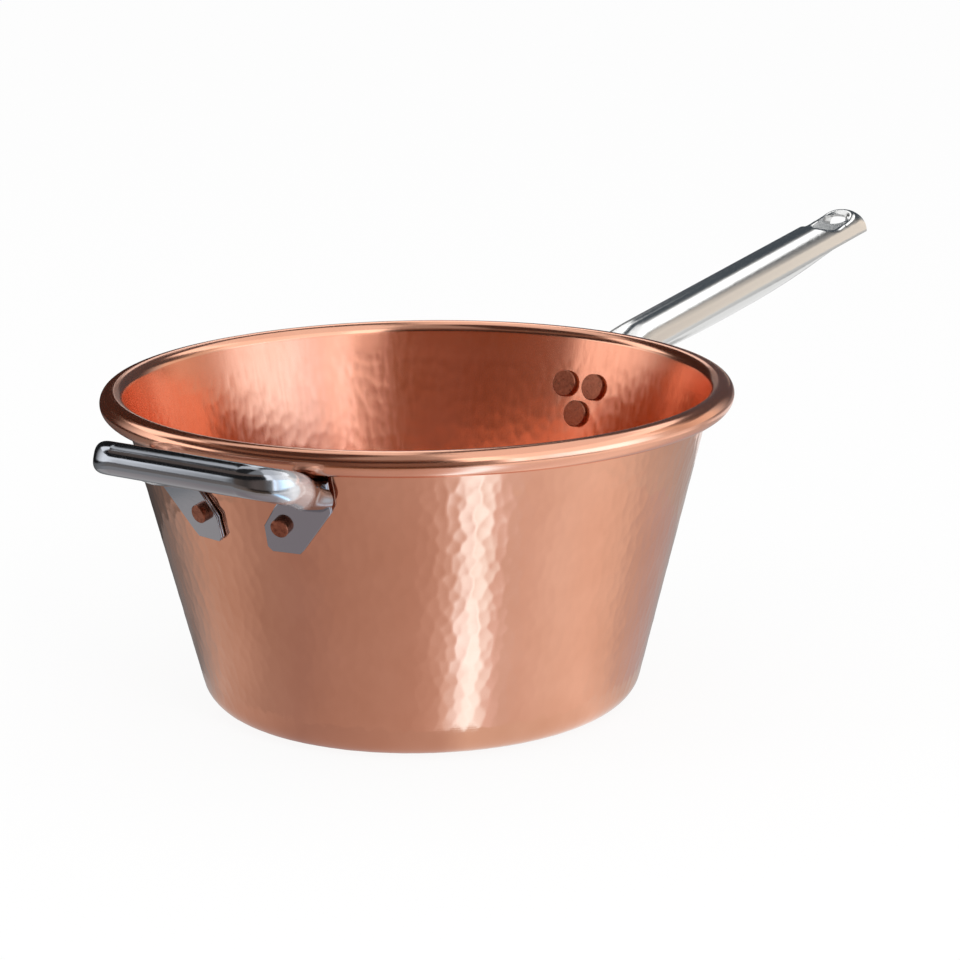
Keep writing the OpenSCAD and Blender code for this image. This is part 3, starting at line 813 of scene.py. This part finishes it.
mat("near_floor", 0.112, 0.285, [
    (-95, 0.14), (-78, 0.22), (-68, 0.42), (-58, (0.62, 0.58, 0.56)), (-48, (0.58, 0.52, 0.50)),
    (-38, (0.45, 0.39, 0.38)), (-28, (0.42, 0.35, 0.35)), (-18, (0.50, 0.42, 0.41)),
    (-8, (0.56, 0.48, 0.47)), (0, (0.60, 0.51, 0.50)), (4, (0.68, 0.60, 0.60)),
    (7.5, (0.90, 0.92, 1.00)), (10, (1.30, 1.80, 2.30)), (12.7, (1.45, 2.30, 3.00)),
    (15.2, (1.25, 1.70, 2.10)), (17.5, (0.98, 1.02, 1.15)), (20, (0.85, 0.86, 0.92)),
    (25, (0.86, 0.83, 0.85)), (33, (0.95, 0.95, 0.97)), (43, (1.02, 1.00, 1.00)),
    (52, (0.90, 0.87, 0.85)), (59, (0.70, 0.66, 0.66)), (68, (0.60, 0.57, 0.60)),
    (80, (0.52, 0.50, 0.52)), (92, 0.42), (112, 0.36)
], spread_near=1.27, spread_far=1.56, turn_near=-3.9)
mat("corner_floor", 0.060, 0.112, [
    (-95, 0.20), (-68, 0.46), (-58, (0.60, 0.55, 0.53)), (-48, (0.57, 0.50, 0.48)),
    (-28, (0.41, 0.34, 0.34)), (-8, (0.55, 0.47, 0.46)), (4, (0.66, 0.60, 0.60)), (10, 0.86),
    (20, 0.84), (33, 0.94), (43, 1.00), (59, 0.70), (80, 0.52), (112, 0.36)
], spread_near=1.18, spread_far=1.27, turn_near=-4.5)
mat("beside_floor", 0.060, 0.285, [(-170, soot), (-148, 0.10), (-112, 0.30)])
mat("under_handle_floor", 0.42, 0.66, [(112, 0.50), (118, 0.85), (164, 0.90), (176, 0.60)], 0.0012)
mat("ring_floor", 0.285, 0.42, [
    (-165, soot), (-130, 0.10), (-105, 0.25), (-80, 0.40), (-10, (0.48, 0.40, 0.36)),
    (0, (0.55, 0.46, 0.43)), (8, (0.68, 0.60, 0.60)), (13, (1.00, 1.20, 1.40)),
    (19, (1.35, 2.00, 2.60)), (24, (1.10, 1.30, 1.50)), (30, 0.87), (50, 0.93), (66, 0.98),
    (80, 0.88), (92, 0.70), (106, 0.60), (125, 0.50), (176, 0.50)])
mat("outer_floor", 0.42, 0.64, [
    (-170, soot), (-130, 0.12), (-95, 0.28), (-32, (0.28, 0.20, 0.15)), (-20, (0.13, 0.09, 0.06)),
    (12, (0.13, 0.09, 0.06)), (20, 1.15), (100, 1.10), (112, 0.40)])
mat("far_floor", 0.64, 1.52, [
    (-170, soot), (-110, soot), (-90, 0.25), (-36, (0.24, 0.18, 0.15)), (-22, (0.05, 0.035, 0.03)),
    (14, (0.05, 0.035, 0.03)), (26, 0.45), (40, 0.55), (60, 0.60), (66, 1.10), (105, 0.90),
    (125, 0.30), (176, 0.28)])

bpy.context.scene.view_settings.view_transform = "Standard"
